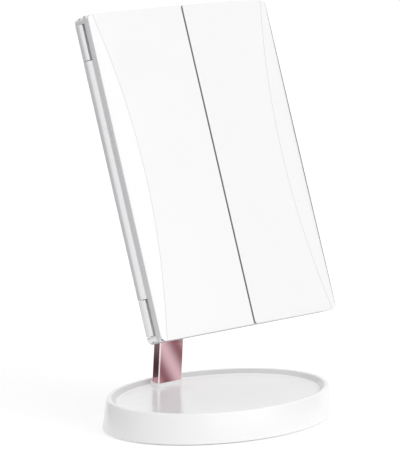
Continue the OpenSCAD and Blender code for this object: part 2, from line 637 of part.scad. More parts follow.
module wing_backing(bar) for (w = wing_windows(bar)) along_z(w[0] + 2.3, w[1] - 2.3) polygon([
    [glass_edge + 2.3, face_y(glass_edge + 2.3 - wing_edge) + cover_t + fit],
    [glass_in - 2.3, face_y(glass_in - 2.3 - wing_edge) + cover_t + fit],
    [glass_in - 2.3, wing_t - glass_t - 0.3], [glass_edge + 2.3, wing_t - glass_t - 0.3]]);
module wing_bushes() both_ends() at_axis() difference() {
    rod_z(barrel_z, barrel_z + bush_l, bush_r);
    rod_z(0, head_h, pin_r + run);
}
module wing_bumpers() for (z = [wing_border / 2, (head_h - bumper_gap) / 2, (head_h + bumper_gap) / 2,
                                head_h - wing_border / 2])
    translate([(glass_in + wing_seam) / 2, 0, z]) rod_y(wing_t, frame_y - fit, 1.5);

module left_wing_cover() color("white") in_head() wing_cover();
module left_wing_frame() color("silver") in_head() wing_ring(true);
module left_upper_glass() color("lightcyan") in_head() wing_glass(wing_windows(true)[1]);
module left_lower_glass() color("lightcyan") in_head() wing_glass(wing_windows(true)[0]);
module left_wing_backing() color("gray") in_head() wing_backing(true);
module left_wing_bushes() color("ivory") in_head() wing_bushes();
module left_wing_bumpers() color("gainsboro") in_head() wing_bumpers();
module right_wing_cover() color("white") in_head() right_half() wing_cover();
module right_wing_frame() color("silver") in_head() right_half() wing_ring(false);
module right_wing_glass() color("lightcyan") in_head() right_half() wing_glass(wing_windows(false)[0]);
module right_wing_backing() color("gray") in_head() right_half() wing_backing(false);
module right_wing_bushes() color("ivory") in_head() right_half() wing_bushes();
module right_wing_bumpers() color("gainsboro") in_head() right_half() wing_bumpers();

// ---------------------------------------------------------------- what is drawn
base_shell();
base_weight();
base_bottom_plate();
foot_ring();
base_screws();
post_tube();
post_collar();
post_foot_insert();
post_screws();
post_eye();
tilt_axle();
tilt_nut();
friction_washers();
tilt_bracket();
bracket_screws();
pivot_cover();
centre_frame();
centre_mirror();
light_diffuser();
led_board();
leds();
mirror_backing();
touch_sensor();
rear_housing();
housing_screws();
control_board();
usb_socket();
power_switch_body();
power_switch_knob();
battery_cells();
battery_contacts();
battery_door();
upper_left_knuckle();
lower_left_knuckle();
upper_right_knuckle();
lower_right_knuckle();
left_hinge_pins();
right_hinge_pins();
left_wing_cover();
left_wing_frame();
left_upper_glass();
left_lower_glass();
left_wing_backing();
left_wing_bushes();
left_wing_bumpers();
right_wing_cover();
right_wing_frame();
right_wing_glass();
right_wing_backing();
right_wing_bushes();
right_wing_bumpers();
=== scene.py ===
# %% [markdown]
# # A folding vanity mirror on an oval tray
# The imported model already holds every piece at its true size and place. This script dresses it: it sets up
# the camera and the light, builds the finishes, gives the two covers their long fold, rounds the edges that
# catch the light, and adds the fine details that are too small to be worth a solid of their own. All lengths
# are in metres, so a size in millimetres is written times mm.

# %% Load the fixed frame
import bpy
import bmesh
import json
from math import cos, pi, radians, sin
from mathutils import Matrix, Vector

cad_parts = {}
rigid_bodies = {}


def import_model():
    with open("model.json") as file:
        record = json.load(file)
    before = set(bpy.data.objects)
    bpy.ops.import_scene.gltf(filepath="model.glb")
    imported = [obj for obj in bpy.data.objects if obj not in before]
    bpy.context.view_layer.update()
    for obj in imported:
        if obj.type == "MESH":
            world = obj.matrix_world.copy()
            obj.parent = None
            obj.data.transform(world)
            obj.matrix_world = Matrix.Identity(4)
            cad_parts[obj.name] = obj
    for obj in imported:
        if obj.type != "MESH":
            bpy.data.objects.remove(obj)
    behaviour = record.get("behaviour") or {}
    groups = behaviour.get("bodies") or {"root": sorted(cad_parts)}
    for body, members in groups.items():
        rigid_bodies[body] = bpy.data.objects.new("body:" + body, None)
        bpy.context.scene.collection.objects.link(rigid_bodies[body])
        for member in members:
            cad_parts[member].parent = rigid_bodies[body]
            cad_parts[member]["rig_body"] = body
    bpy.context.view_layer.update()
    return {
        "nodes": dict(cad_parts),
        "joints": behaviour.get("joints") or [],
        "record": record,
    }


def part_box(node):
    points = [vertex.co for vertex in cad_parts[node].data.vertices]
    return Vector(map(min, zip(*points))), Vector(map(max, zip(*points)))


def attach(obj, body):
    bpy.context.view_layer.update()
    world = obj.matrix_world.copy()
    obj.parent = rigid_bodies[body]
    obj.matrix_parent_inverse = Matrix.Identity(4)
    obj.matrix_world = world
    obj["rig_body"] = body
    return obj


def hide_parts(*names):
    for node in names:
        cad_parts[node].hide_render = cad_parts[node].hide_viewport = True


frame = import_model()
record = frame["record"]
mm = 0.001
print("pieces in the frame:", len(frame["nodes"]))

# %% [markdown]
# ## The camera comes first
# The mirror is seen from its front left and a little from above, through a long lens, so that upright lines
# stay nearly parallel. A camera is placed on a sphere around the point it looks at: two angles give the
# direction, and the distance sets how strong the perspective is. The long side of the picture is 36 mm of
# film.


# %% Put a thing into the scene and turn it
def add_to_scene(name, data):
    """Makes an object out of a mesh, a lamp or a lens and links it to the scene."""
    thing = bpy.data.objects.new(name, data)
    bpy.context.scene.collection.objects.link(thing)
    return thing


def turn_towards(thing, direction):
    """Points an object's Z axis along a direction. A camera or a lamp looks the other way."""
    thing.rotation_mode = "QUATERNION"
    thing.rotation_quaternion = Vector(direction).to_track_quat("Z", "Y")


# %% Camera
azimuth = radians(-45.01)
elevation = radians(9.11)
distance = 2.22667
looks_at = Vector((-9.33, 9.33, 140.39)) * mm
focal_length = 253.66
film_size = 36
backwards = Vector((sin(azimuth) * cos(elevation), -cos(azimuth) * cos(elevation), sin(elevation)))
lens = bpy.data.cameras.new("camera")
lens.sensor_width = film_size
lens.lens = focal_length
lens.clip_end = 20
camera = add_to_scene("camera", lens)
camera.location = looks_at + distance * backwards
turn_towards(camera, backwards)
bpy.context.scene.camera = camera
bpy.context.scene.view_settings.view_transform = "Standard"
print("camera at", [round(v, 3) for v in camera.location])

# %% [markdown]
# ## Small helpers for meshes
# Every new piece starts as a bmesh, which is a mesh in memory that operators can shape. One helper turns it
# into an object that rides on a body of the model. Faces are smooth, and edges that turn sharply are marked,
# so that the shading breaks only where the real piece has a corner.

# %% Mesh helpers
sharp_turn = radians(32)


def finished_mesh(bm, name):
    """Turns a bmesh into a mesh and frees it."""
    mesh = bpy.data.meshes.new(name)
    bm.to_mesh(mesh)
    bm.free()
    return mesh


def make_piece(bm, name, body, slot, node=None):
    """Turns a bmesh into an object that rides on a body and, where a node is named, stands for it."""
    mesh = finished_mesh(bm, name)
    mesh.shade_smooth()
    mesh.set_sharp_from_angle(angle=sharp_turn)
    mesh.materials.append(finishes[slot])
    piece = add_to_scene(name, mesh)
    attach(piece, body)
    if node:
        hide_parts(node)
    return piece


def add_weighted_normals(piece):
    """Lets the large flat faces decide the shading, so that rounded edges blend into them."""
    weighted = piece.modifiers.new("weighted normals", "WEIGHTED_NORMAL")
    weighted.keep_sharp = True
    weighted.weight = 60


# %% [markdown]
# ## Grain, flakes, brushing and wear as building blocks
# No moulding is perfectly even. A gloss cover has a faint orange peel, a sprayed part has fine flakes, and
# handled edges are a touch brighter. Such effects are used by many finishes, so each is a shader node group
# with named inputs: it is built once, and each material puts in its own values. The groups read Object
# coordinates, so the pattern keeps its real size and moves with the piece.

# %% Node helpers
def start_group(name, inputs, outputs):
    """A new shader node group: inputs are (name, value) pairs, outputs are names of plain values."""
    tree = bpy.data.node_groups.new(name, "ShaderNodeTree")
    for label, value in inputs:
        socket = tree.interface.new_socket(name=label, in_out="INPUT", socket_type="NodeSocketFloat")
        socket.default_value = value
    for label in outputs:
        tree.interface.new_socket(name=label, in_out="OUTPUT", socket_type="NodeSocketFloat")
    return tree, tree.nodes.new("NodeGroupInput"), tree.nodes.new("NodeGroupOutput")


def add_node(tree, kind, links=(), **settings):
    """Adds a node, sets its options, and fills its inputs with links or plain values."""
    node = tree.nodes.new(kind)
    for key, value in settings.items():
        setattr(node, key, value)
    for label, source in dict(links).items():
        if isinstance(source, bpy.types.NodeSocket):
            tree.links.new(source, node.inputs[label])
        else:
            node.inputs[label].default_value = source
    return node


def add_math(tree, operation, first, second):
    """One arithmetic step between two sockets or numbers."""
    return add_node(tree, "ShaderNodeMath", {0: first, 1: second}, operation=operation).outputs[0]


def add_range(tree, value, low, high, start=0.0, end=1.0):
    """Maps the values from low to high onto start to end, and stays at an end beyond them."""
    limits = {"Value": value, "From Min": low, "From Max": high, "To Min": start, "To Max": end}
    return add_node(tree, "ShaderNodeMapRange", limits).outputs[0]


def mix_colours(tree, amount, first, second):
    """Blends a plain second colour over a first one. A Mix node's colours are inputs 6 and 7, output 2."""
    colours = {0: amount, 6: first, 7: [*second, 1]}
    return add_node(tree, "ShaderNodeMix", colours, data_type="RGBA").outputs[2]


# %% Moulded grain: a fine height and slow, cloudy patches
grain_inputs = [("Grain Scale", 900), ("Patch Scale", 30)]
tree, given, result = start_group("moulded grain", grain_inputs, ["Height", "Patch"])
place = add_node(tree, "ShaderNodeTexCoord").outputs["Object"]
fine = add_node(tree, "ShaderNodeTexNoise", {"Vector": place, "Scale": given.outputs[0], "Detail": 2.0})
slow = add_node(tree, "ShaderNodeTexNoise", {"Vector": place, "Scale": given.outputs[1], "Detail": 4.0})
tree.links.new(fine.outputs[0], result.inputs["Height"])
tree.links.new(slow.outputs[0], result.inputs["Patch"])
moulded_grain = tree

# %% Metal flakes: tiny cells, each a little lighter or darker
tree, given, result = start_group("metal flakes", [("Flake Scale", 4000)], ["Flake", "Height"])
place = add_node(tree, "ShaderNodeTexCoord").outputs["Object"]
cells = add_node(tree, "ShaderNodeTexVoronoi", {"Vector": place, "Scale": given.outputs[0]})
split = add_node(tree, "ShaderNodeSeparateColor", {"Color": cells.outputs["Color"]})
tree.links.new(split.outputs[0], result.inputs["Flake"])
tree.links.new(split.outputs[1], result.inputs["Height"])
metal_flakes = tree

# %% Brushing: noise drawn out along one direction
tree, given, result = start_group("brushing", [("Across", 6000), ("Along", 60)], ["Streak"])
place = add_node(tree, "ShaderNodeTexCoord").outputs["Object"]
across, along = given.outputs[0], given.outputs[1]
scale = add_node(tree, "ShaderNodeCombineXYZ", {0: across, 1: across, 2: along})
drawn = add_node(tree, "ShaderNodeMapping", {"Vector": place, "Scale": scale.outputs[0]})
lines = add_node(tree, "ShaderNodeTexNoise", {"Vector": drawn.outputs[0], "Scale": 1.0, "Detail": 3.0})
tree.links.new(lines.outputs[0], result.inputs["Streak"])
brushing = tree

# %% Edge wear: outer corners, found by how the surface curves, broken up by noise
flat_pointiness = 0.5
tree, given, result = start_group("edge wear", [("Reach", 0.06), ("Amount", 1.0)], ["Mask"])
place = add_node(tree, "ShaderNodeTexCoord").outputs["Object"]
curving = add_node(tree, "ShaderNodeNewGeometry").outputs["Pointiness"]
ramp = add_math(tree, "DIVIDE", add_math(tree, "SUBTRACT", curving, flat_pointiness), given.outputs[0])
broken = add_node(tree, "ShaderNodeTexNoise", {"Vector": place, "Scale": 260.0, "Detail": 3.0}).outputs[0]
rubbed = {0: add_math(tree, "MULTIPLY", ramp, broken), 1: given.outputs[1]}
amount = add_node(tree, "ShaderNodeMath", rubbed, operation="MULTIPLY", use_clamp=True)
tree.links.new(amount.outputs[0], result.inputs["Mask"])
edge_wear = tree

# %% Side mask: which way the surface faces on the piece itself
side_inputs = [("X", 0), ("Y", 0), ("Z", 1), ("From", 0.5), ("To", 0.7)]
tree, given, result = start_group("side mask", side_inputs, ["Mask"])
facing = add_node(tree, "ShaderNodeTexCoord").outputs["Normal"]
side = add_node(tree, "ShaderNodeCombineXYZ", {i: given.outputs[i] for i in range(3)}).outputs[0]
turned = add_node(tree, "ShaderNodeVectorMath", {0: facing, 1: side}, operation="DOT_PRODUCT")
mask = add_range(tree, turned.outputs["Value"], given.outputs[3], given.outputs[4])
tree.links.new(mask, result.inputs["Mask"])
side_mask = tree
print("node groups:", [g.name for g in bpy.data.node_groups])

# %% [markdown]
# ## The finishes
# One function builds a material out of those blocks: a base colour that the patches shift a little, a
# roughness with its own spread, and a bump for the grain. What is the same all over a piece, such as its
# coat, is set on the shader itself, so that it survives export. Three extras are used by a few finishes, and
# all three paint light or shade into the colour. Soft bands of a second colour are a painted reflection on
# polished metal. Another colour where a piece faces one way is a painted shade or a painted highlight. A
# third colour where the mesh itself is marked is a painted shade in a groove or a hollow. Each finish below
# then only states what makes it different.

# %% Soft bands of a second colour
def add_sweeps(tree, painted, direction, length, start, colour):
    """Lays a second colour over the paint in bands across a direction, with one band at start."""
    # These bands are a painted reflection: brighter where polished metal would mirror the studio.
    place = add_node(tree, "ShaderNodeTexCoord").outputs["Object"]
    turns = Vector(direction) * 2 * pi / length
    across = add_node(tree, "ShaderNodeVectorMath", {0: place, 1: turns}, operation="DOT_PRODUCT")
    from_start = add_math(tree, "SUBTRACT", across.outputs["Value"], 2 * pi * start / length)
    wave = add_math(tree, "COSINE", from_start, 0)
    return mix_colours(tree, add_range(tree, wave, -1.0, 1.0), painted, colour)


# %% One function for every finish
coat_roughness = 0.04
patch_low = 0.3
patch_high = 0.7
wear_lift = 1.15


def make_finish(name, colour, roughness, tint=0.02, spread=0.04, metallic=0.0, coat=0.0, grain_scale=900,
                patch_scale=30, bump=0.0, bump_height=0.02 * mm, texture="grain", wear=0.0, worn=None,
                sides=(), marked=None, sweeps=None):
    """A procedural material. tint and spread say how far colour and roughness stray from their middle.
    sides holds (direction, from, to, colour): another colour where the piece faces that way. marked is a
    colour for the places that carry a value in the mesh's "shade" attribute. sweeps is (direction, length,
    start, colour): soft bands of a second colour across the piece."""
    material = bpy.data.materials.new(name)
    material.use_nodes = True
    tree = material.node_tree
    shader = tree.nodes["Principled BSDF"]
    shader.inputs["Metallic"].default_value = metallic
    shader.inputs["Coat Weight"].default_value = coat
    shader.inputs["Coat Roughness"].default_value = coat_roughness
    scales = {"Grain Scale": grain_scale, "Patch Scale": patch_scale}
    grain = add_node(tree, "ShaderNodeGroup", scales, node_tree=moulded_grain).outputs
    height, shift = grain["Height"], grain["Patch"]
    if texture == "flakes":
        flakes = add_node(tree, "ShaderNodeGroup", {"Flake Scale": grain_scale}, node_tree=metal_flakes)
        height, shift = flakes.outputs["Height"], flakes.outputs["Flake"]
    if texture == "brushed":
        height = add_node(tree, "ShaderNodeGroup", node_tree=brushing).outputs["Streak"]
        shift = height
    darker = [c * (1 - tint) for c in colour]
    lighter = [min(c * (1 + tint), 1) for c in colour]
    painted = mix_colours(tree, shift, [*darker, 1], lighter)
    # sweeps paint a reflection in soft bands.
    if sweeps:
        painted = add_sweeps(tree, painted, *sweeps)
    # marked places get painted shade.
    if marked:
        mark = add_node(tree, "ShaderNodeAttribute", attribute_name="shade").outputs["Fac"]
        painted = mix_colours(tree, mark, painted, marked)
    # sides paint shade or a highlight by the way the surface faces.
    for direction, start, end, second_colour in sides:
        limits = {"X": direction[0], "Y": direction[1], "Z": direction[2], "From": start, "To": end}
        faces_it = add_node(tree, "ShaderNodeGroup", limits, node_tree=side_mask).outputs["Mask"]
        painted = mix_colours(tree, faces_it, painted, second_colour)
    if wear:
        edges = add_node(tree, "ShaderNodeGroup", {"Amount": wear}, node_tree=edge_wear).outputs["Mask"]
        painted = mix_colours(tree, edges, painted, worn or [min(c * wear_lift, 1) for c in colour])
    tree.links.new(painted, shader.inputs["Base Color"])
    rough = add_range(tree, grain["Patch"], patch_low, patch_high, roughness - spread, roughness + spread)
    tree.links.new(rough, shader.inputs["Roughness"])
    if bump:
        relief = {"Strength": bump, "Distance": bump_height, "Height": height}
        tree.links.new(add_node(tree, "ShaderNodeBump", relief).outputs[0], shader.inputs["Normal"])
    return material


# %% The head's own directions
lean = radians(18.5)
head_front = Vector((0, -cos(lean), sin(lean)))
head_down = Vector((0, -sin(lean), -cos(lean)))

# %% [markdown]
# ## Mouldings, rubber and foam
# The base is a satin white moulding, and the silver-grey parts are sprayed. Their paint holds fine flakes and
# is rubbed a little brighter on its edges. Where it faces down, a darker grey is painted in as shade,
# standing for the tray's shaded side that it mirrors from below. A colour by direction gives that painted
# shade in one step, where a card for the underside alone would also change every other reflection.

# %% Mouldings
finishes = {
    "white_gloss": make_finish(
        "white gloss moulding", (0.93, 0.93, 0.935), 0.16, tint=0.006, coat=0.25, grain_scale=300, bump=0.08,
        bump_height=0.01 * mm),
    # The satin's marked colour is painted shade on the slope inside the tray's rim.
    "white_satin": make_finish(
        "white satin moulding with painted shade", (0.96, 0.96, 0.965), 0.22, tint=0.006, spread=0.03,
        marked=(0.74, 0.74, 0.745)),
    # The silver paint's darker grey where it faces down is painted shade from below.
    "silver_paint": make_finish(
        "silver-grey satin paint with painted shade", (0.88, 0.875, 0.89), 0.30, tint=0.05, metallic=0.3, texture="flakes",
        grain_scale=5200, bump=0.06, bump_height=0.01 * mm, wear=0.5, worn=(0.92, 0.92, 0.93),
        sides=[(head_down, 0.7, 0.95, (0.24, 0.24, 0.25))]),
    "grey_plastic": make_finish(
        "grey plastic", (0.55, 0.55, 0.57), 0.45, bump=0.3, grain_scale=1800),
    "soft_pad": make_finish(
        "soft pale rubber", (0.72, 0.72, 0.72), 0.75, tint=0.05, bump=0.4, grain_scale=2600),
    "nylon": make_finish(
        "natural nylon", (0.88, 0.86, 0.80), 0.42, bump=0.15),
    "frosted": make_finish(
        "frosted light band", (0.95, 0.95, 0.93), 0.55, tint=0.01, bump=0.5, grain_scale=5200),
    "foam": make_finish(
        "dark foam", (0.10, 0.10, 0.105), 0.92, tint=0.25, bump=1.0, grain_scale=3200,
        bump_height=0.2 * mm),
}
print("mouldings:", list(finishes))

# %% [markdown]
# ## Metals, glass and circuits
# The post is plated in rose gold and nearly mirrors the studio. On its flat faces that shows as slanting
# bands, and along its two front corners as one bright line. Both are painted in by direction and place, since
# a flat face mirrors so small a part of the studio that no card of a sensible size would draw them.

# %% Metals, glass and circuits
# Painted reflection: slanting bands across the post. Painted highlight: a bright line down its front corners.
painted_reflection_bands = ((0.82, 0, 0.574), 21 * mm, 41 * mm, (0.92, 0.62, 0.66))
painted_corner_highlight = (1.0, 0.97, 0.97)
post_corners = [(side * 0.707, -0.707, 0) for side in (-1, 1)]
finishes.update({
    "rose_gold": make_finish(
        "rose-gold plating with painted reflections", (0.37, 0.16, 0.185), 0.09, tint=0.02, spread=0.02, metallic=1.0, patch_scale=60,
        sweeps=painted_reflection_bands, sides=[(corner, 0.9, 0.95, painted_corner_highlight) for corner in post_corners]),
    "steel": make_finish(
        "turned steel", (0.56, 0.56, 0.57), 0.30, tint=0.12, metallic=1.0, texture="brushed", bump=0.12),
    "weight_iron": make_finish(
        "painted cast iron", (0.10, 0.10, 0.105), 0.55, tint=0.2, bump=0.6, grain_scale=1200,
        bump_height=0.1 * mm, wear=0.8, worn=(0.3, 0.3, 0.3)),
    "mirror_glass": make_finish(
        "silvered glass", (0.90, 0.92, 0.92), 0.02, tint=0.004, spread=0.01, metallic=1.0, patch_scale=14),
    "circuit": make_finish(
        "green lacquered board", (0.02, 0.12, 0.05), 0.30, tint=0.3, coat=0.5, patch_scale=700),
    "lamp": make_finish(
        "lamp with yellow phosphor", (0.85, 0.68, 0.22), 0.25, tint=0.08, coat=0.6),
    "copper_foil": make_finish(
        "copper foil", (0.80, 0.42, 0.22), 0.28, tint=0.08, metallic=1.0, bump=0.3, grain_scale=300),
    "cell_sleeve": make_finish(
        "plain blue cell sleeve", (0.05, 0.13, 0.28), 0.30, tint=0.06, coat=0.3),
})
print("finishes:", len(finishes))

# %% [markdown]
# ## The covers' lacquer and painted shade
# The covers are white in front. Their cut edges and backs are painted a pale grey, and darkest are the edges
# along the seam, where each cover faces the other, and those underneath. These greys are painted shade,
# standing for the shade on the edges, in the seam and under the covers. The seam lies on the right of one
# cover and on the left of the other, so each cover gets a finish of its own. The fold's fine groove is marked
# on the mesh and painted grey, as painted shade in the groove.

# %% One finish for each cover
painted_edge_shade = (0.76, 0.76, 0.77)
painted_seam_shade = (0.26, 0.26, 0.27)
cover_finish = {}
for cover_name, seam_side in (("left_wing_cover", 1), ("right_wing_cover", -1)):
    # The pale and dark greys by direction and the marked grey are painted shade: on the edges, in the seam,
    # underneath and in the groove.
    cover_finish[cover_name] = make_finish(
        cover_name.split("_")[0] + " lacquered sheet with painted shade", (0.93, 0.93, 0.935), 0.16, tint=0.006, coat=0.25,
        grain_scale=300, bump=0.08, bump_height=0.01 * mm, marked=(0.55, 0.55, 0.56),
        sides=[(-head_front, -0.5, -0.3, painted_edge_shade), ((seam_side, 0, 0), 0.5, 0.7, painted_seam_shade),
               (head_down, 0.5, 0.7, painted_seam_shade)])
print("cover finishes:", list(cover_finish))

# %% Give every node of the frame its finish
slot_of = {part["node"]: part["material_slot"] for part in record["subparts"]}
for name, node in frame["nodes"].items():
    node.data.materials.clear()
    node.data.materials.append(finishes[slot_of[name]])
body_of = {name: node["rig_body"] for name, node in frame["nodes"].items()}
print("dressed nodes:", len(slot_of))

# %% [markdown]
# ## The covers' long fold
# Each cover has a shallow facet along its outer edge. It ends in a long arc, a fold of little more than two
# degrees, which shows on the real cover as one hairline. The solid's front lacks the facet and has a faint
# dip beside its place, so those faces come off and one flat face closes the opening. A straight cut down the
# sheet and a ladder of level cuts then give a row of points. These slide onto the arc, and what lies outside
# Last, the fold is bevelled, and its middle is pushed in and marked for painted shade, so that it shows from
# every side.

# %% Places on a cover
pivot = Vector(next(j for j in frame["joints"] if j["name"] == "head_tilt")["pos_m"])
pivot_height = 130 * mm
head_height = 230 * mm
cover_edge = max(abs(v.co.x) for v in frame["nodes"]["left_wing_cover"].data.vertices)


def on_cover(point):
    """Distance from the cover's outer edge and height above the head's lower edge."""
    return cover_edge - abs(point.x), pivot_height - (point - pivot).dot(head_down)


def reach(verts, direction):
    """How far some vertices extend along a direction."""
    return max(v.co.dot(direction) for v in verts)


# %% The facet and the arc where it ends
fold_reach = 19.4 * mm
edge_drop = 0.8 * mm
fold_slope = edge_drop / fold_reach
fold_radius = 10697 * mm


def fold_sinks(distance, height):
    """How deep the facet lies under the cover's main face; it ends where this is nothing."""
    return (fold_reach - distance) * fold_slope - (height - head_height / 2) ** 2 / (2 * fold_radius)


# %% One flat front
same_place = 0.0005 * mm
dip_depth = 0.35 * mm  # deeper than the dip, but less than the sheet is thick
dip_from = 15 * mm
dip_to = 35 * mm
same_way = 0.99999


def flatten_front(bm, main, level):
    """Takes the front faces off, with the solid's dip, and closes the opening with one flat face."""
    old_faces = []
    for face in bm.faces:
        in_front = all(level - v.co.dot(main) < dip_depth for v in face.verts)
        in_dip = dip_from < on_cover(face.calc_center_median())[0] < dip_to
        if in_front and (in_dip or face.normal.dot(main) > same_way):
            old_faces.append(face)
    bmesh.ops.delete(bm, geom=old_faces, context="FACES")
    made = bmesh.ops.edgeloop_fill(bm, edges=[e for e in bm.edges if e.is_boundary])
    bmesh.ops.recalc_face_normals(bm, faces=bm.faces)
    print("front faces:", len(old_faces), "became", len(made["faces"]))


# %% Straight cuts that give the fold its points
first_cut = 12 * mm
ladder_steps = 36


def cut_ladder(bm, side):
    """Cuts a cover once down its length and level at even heights."""
    cuts = [(Vector((side * (cover_edge - first_cut), 0, 0)), Vector((1, 0, 0)))]
    for step in range(1, ladder_steps):
        height = head_height * step / ladder_steps
        cuts.append((pivot - head_down * (height - pivot_height), head_down))
    for place, across in cuts:
        everything = bm.verts[:] + bm.edges[:] + bm.faces[:]
        bmesh.ops.bisect_plane(bm, geom=everything, plane_co=place, plane_no=across, dist=same_place)


# %% A fine groove along the fold
fold_mark = 2
groove_half = 0.3 * mm
groove_depth = 0.12 * mm


def cut_groove(bm, shade):
    """Bevels the edges between marked points, pushes the bevel's middle in and marks only that."""
    # The marked middle of the groove is where the cover's finish paints shade.
    fold = [e for e in bm.edges if all(v[shade] == fold_mark for v in e.verts)]
    made = bmesh.ops.bevel(bm, geom=fold, offset=groove_half, offset_type="OFFSET", affect="EDGES",
                           segments=2, profile=0.5, material=-1, clamp_overlap=True)
    strip = set(made["faces"])
    middle = [v for v in made["verts"] if len(v.link_faces) == 4 and set(v.link_faces) <= strip]
    for vert in bm.verts:
        vert[shade] = 0
    for vert in middle:
        vert.co -= head_front * groove_depth
        vert[shade] = 1
    print("fold edges:", len(fold))


# %% Fold a cover
front_gap = 0.02 * mm  # a point this near the main face lies on it
cut_gap = 0.01 * mm  # a point this near the straight cut lies on it
least_reach = 5 * mm  # the arc stays this far from the outer edge
faces_front = 0.9


def fold_cover(bm):
    """Gives a cover its outer facet and the hairline where it ends."""
    shade = bm.verts.layers.float.new("shade")
    forward = [f for f in bm.faces if f.normal.dot(head_front) > faces_front]
    main = max(forward, key=lambda f: f.calc_area()).normal.copy()
    level = reach(bm.verts, main)
    side = 1 if main.x > 0 else -1
    flatten_front(bm, main, level)
    cut_ladder(bm, side)
    for vert in bm.verts:
        if abs(level - vert.co.dot(main)) > front_gap:
            continue
        distance, height = on_cover(vert.co)
        sinks = fold_sinks(distance, height)
        if abs(distance - first_cut) < cut_gap:
            arc = max(distance + sinks / fold_slope, least_reach)
            slide = Vector((-side * (arc - distance), 0, 0))
            vert.co += slide - head_front * (slide.dot(main) / head_front.dot(main))
            vert[shade] = fold_mark
        elif distance < first_cut:
            vert.co -= head_front * max(sinks, 0)
    cut_groove(bm, shade)


# %% [markdown]
# ## Rounding the edges that catch the light
# A moulded edge is never knife-sharp: it has a radius of a few tenths of a millimetre, and that is the thin
# bright line seen along the covers and the post. The model's meshes are loose triangles, so a copy is joined,
# its flat faces are made whole again, and every edge that turns far enough is bevelled. The copy then stands
# for the node, whose solid stays as it is.

# %% A rounded copy of a node
flat_turn = radians(0.4)
cover_flat_turn = radians(0.05)
corner_turn = radians(20)


def joined_copy(name):
    """A bmesh of a node, with its loose triangles joined."""
    bm = bmesh.new()
    bm.from_mesh(frame["nodes"][name].data)
    bmesh.ops.remove_doubles(bm, verts=bm.verts, dist=same_place)
    return bm


def rounded_copy(name, radius, flat=flat_turn, reshape=None):
    """Copies a node, lets reshape change its form, and rounds the edges that turn far enough."""
    bm = joined_copy(name)
    bmesh.ops.dissolve_limit(bm, angle_limit=flat, verts=bm.verts, edges=bm.edges)
    if reshape:
        reshape(bm)
    corners = [e for e in bm.edges if len(e.link_faces) == 2 and e.calc_face_angle(0) > corner_turn]
    bmesh.ops.bevel(bm, geom=corners, offset=radius, offset_type="OFFSET", affect="EDGES", segments=3,
                    profile=0.5, material=-1, clamp_overlap=True)
    piece = make_piece(bm, name + "_shown", body_of[name], slot_of[name], name)
    add_weighted_normals(piece)
    return piece


# %% Edge radii in millimetres, and the copies
edge_radius = {
    "left_wing_cover": 0.25, "right_wing_cover": 0.25, "left_wing_frame": 0.25, "right_wing_frame": 0.25,
    "centre_frame": 0.25, "rear_housing": 0.3, "pivot_cover": 0.4, "battery_door": 0.3,
    "upper_left_knuckle": 0.3, "lower_left_knuckle": 0.3, "upper_right_knuckle": 0.3,
    "lower_right_knuckle": 0.3, "post_collar": 0.4, "tilt_bracket": 0.3, "tilt_nut": 0.3,
    "power_switch_knob": 0.2, "post_eye": 0.3, "post_tube": 0.25,
}
for name, radius in edge_radius.items():
    if name in cover_finish:
        piece = rounded_copy(name, radius * mm, cover_flat_turn, fold_cover)
        piece.data.materials[0] = cover_finish[name]
    else:
        piece = rounded_copy(name, radius * mm)
    print(name, "faces:", len(piece.data.polygons))

# %% [markdown]
# ## What shows on the glass
# The centre mirror has its silvering taken off in an arch, where the light comes through, and a small ring
# marks the place for the finger. Both are etched into the face of the glass. The arch has the outline of the
# diffuser behind it, so the front of that piece is copied, brought forward and given a thin wall. The ring is
# a small section turned about an axis square to the glass.

# %% Etched arch
etch_depth = 0.06 * mm
arch_flat_turn = radians(1)
arch_corner = 2 * mm
round_steps = 6
glass_front = reach(frame["nodes"]["centre_mirror"].data.vertices, head_front)
bm = joined_copy("light_diffuser")
behind = [f for f in bm.faces if f.normal.dot(head_front) < faces_front]
bmesh.ops.delete(bm, geom=behind, context="FACES")
forward = glass_front - reach(bm.verts, head_front)
bmesh.ops.translate(bm, verts=bm.verts, vec=head_front * (forward + etch_depth))
bmesh.ops.dissolve_limit(bm, angle_limit=arch_flat_turn, verts=bm.verts, edges=bm.edges)
corners = [v for v in bm.verts if len(v.link_edges) == 2]
bmesh.ops.bevel(bm, geom=corners, offset=arch_corner, offset_type="OFFSET", affect="VERTICES",
                segments=round_steps, profile=0.5, material=-1, clamp_overlap=True)
bmesh.ops.solidify(bm, geom=bm.faces[:], thickness=etch_depth)
bmesh.ops.recalc_face_normals(bm, faces=bm.faces)
arch = make_piece(bm, "etched_light_arch", body_of["centre_mirror"], "frosted")
print("arch faces:", len(arch.data.polygons))

# %% Helpers for turned pieces
spin_gap = 0.001 * mm


def draw_profile(bm, points):
    """Joins points of (radius, height) with edges and returns them as vertices."""
    corners = [bm.verts.new((radius, 0, height)) for radius, height in points]
    for first, second in zip(corners, corners[1:]):
        bm.edges.new((first, second))
    return corners


def turn_profile(bm, steps):
    """Turns what a bmesh holds once round the upright axis and closes the joint."""
    bmesh.ops.spin(bm, geom=bm.verts[:] + bm.edges[:], cent=(0, 0, 0), axis=(0, 0, 1), angle=2 * pi,
                   steps=steps, use_merge=True)
    bmesh.ops.remove_doubles(bm, verts=bm.verts, dist=spin_gap)
    bmesh.ops.recalc_face_normals(bm, faces=bm.faces)


